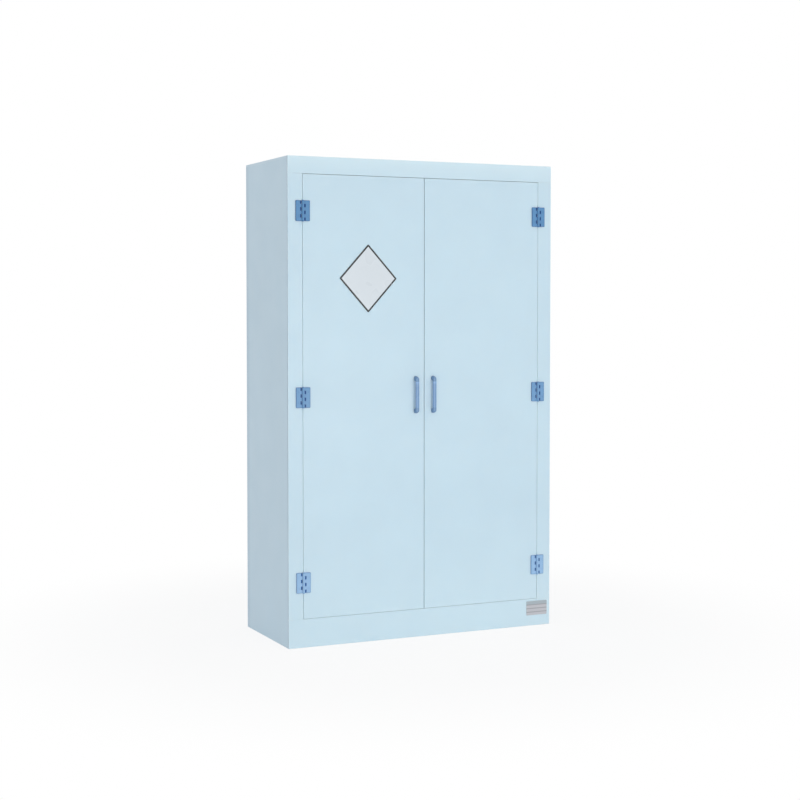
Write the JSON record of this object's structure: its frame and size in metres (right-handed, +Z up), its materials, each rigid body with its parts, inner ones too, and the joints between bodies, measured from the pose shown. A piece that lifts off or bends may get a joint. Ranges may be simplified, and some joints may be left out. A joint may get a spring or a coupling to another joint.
{
  "type": "acid storage cabinet",
  "caption": "Tall floor-standing plastic cabinet for acids, with a pair of flush hinged doors, bow handles, shelf trays and a spill sump.",
  "frame": {"origin": "on the floor, in the middle of the overall width and of the overall depth, handles included", "axes": "+X to the right as seen from the front, +Y from the front to the back, +Z up"},
  "size_m": [1.1, 0.47, 1.8],
  "materials": {
    "sheet_plastic": "pale blue polypropylene sheet, satin",
    "tray_plastic": "off-white polypropylene, satin",
    "hardware_plastic": "mid-blue moulded polypropylene, semi-gloss",
    "strike_steel": "stainless strip",
    "magnet": "dark ferrite",
    "sign_face": "printed plastic plate, blank",
    "nameplate_metal": "grey plate with plain ruled lines"
  },
  "bodies": {
    "carcass": {"back_panel": "sheet_plastic", "top_panel": "sheet_plastic", "floor_panel": "sheet_plastic", "base_runners": "sheet_plastic", "top_rail": "sheet_plastic", "bottom_rail": "sheet_plastic", "head_strip": "sheet_plastic", "sill_strip": "sheet_plastic", "door_stop": "sheet_plastic", "left_side_panel": "sheet_plastic", "left_stile": "sheet_plastic", "left_jamb": "sheet_plastic", "left_front_shelf_standard": "sheet_plastic", "left_rear_shelf_standard": "sheet_plastic", "right_side_panel": "sheet_plastic", "right_stile": "sheet_plastic", "right_jamb": "sheet_plastic", "right_front_shelf_standard": "sheet_plastic", "right_rear_shelf_standard": "sheet_plastic", "shelf_pegs": "tray_plastic", "sump_tray": "tray_plastic", "lower_shelf_tray": "tray_plastic", "middle_shelf_tray": "tray_plastic", "upper_shelf_tray": "tray_plastic", "left_catch_housing": "tray_plastic", "right_catch_housing": "tray_plastic", "left_hinge_pins": "hardware_plastic", "left_frame_leaf_screws": "hardware_plastic", "right_hinge_pins": "hardware_plastic", "right_frame_leaf_screws": "hardware_plastic", "left_lower_frame_leaf": "hardware_plastic", "left_middle_frame_leaf": "hardware_plastic", "left_upper_frame_leaf": "hardware_plastic", "right_lower_frame_leaf": "hardware_plastic", "right_middle_frame_leaf": "hardware_plastic", "right_upper_frame_leaf": "hardware_plastic", "catch_magnets": "magnet", "nameplate": "nameplate_metal"},
    "left_door": {"left_door_panel": "sheet_plastic", "left_door_uprights": "sheet_plastic", "left_door_crossbars": "sheet_plastic", "left_strike_plate": "strike_steel", "left_handle": "hardware_plastic", "left_handle_screws": "hardware_plastic", "left_door_leaf_screws": "hardware_plastic", "left_lower_door_leaf": "hardware_plastic", "left_middle_door_leaf": "hardware_plastic", "left_upper_door_leaf": "hardware_plastic", "sign_plate": "sign_face"},
    "right_door": {"right_door_panel": "sheet_plastic", "right_door_uprights": "sheet_plastic", "right_door_crossbars": "sheet_plastic", "right_strike_plate": "strike_steel", "right_handle": "hardware_plastic", "right_handle_screws": "hardware_plastic", "right_door_leaf_screws": "hardware_plastic", "right_lower_door_leaf": "hardware_plastic", "right_middle_door_leaf": "hardware_plastic", "right_upper_door_leaf": "hardware_plastic"}
  },
  "joints": [
    {"name": "left_door_hinge", "type": "hinge", "parent": "carcass", "child": "left_door", "pos_m": [-0.49225, -0.2198, 0.92075], "axis": [0, 0, -1], "range_deg": [0, 180]},
    {"name": "right_door_hinge", "type": "hinge", "parent": "carcass", "child": "right_door", "pos_m": [0.49225, -0.2198, 0.92075], "axis": [0, 0, 1], "range_deg": [0, 180]}
  ]
}
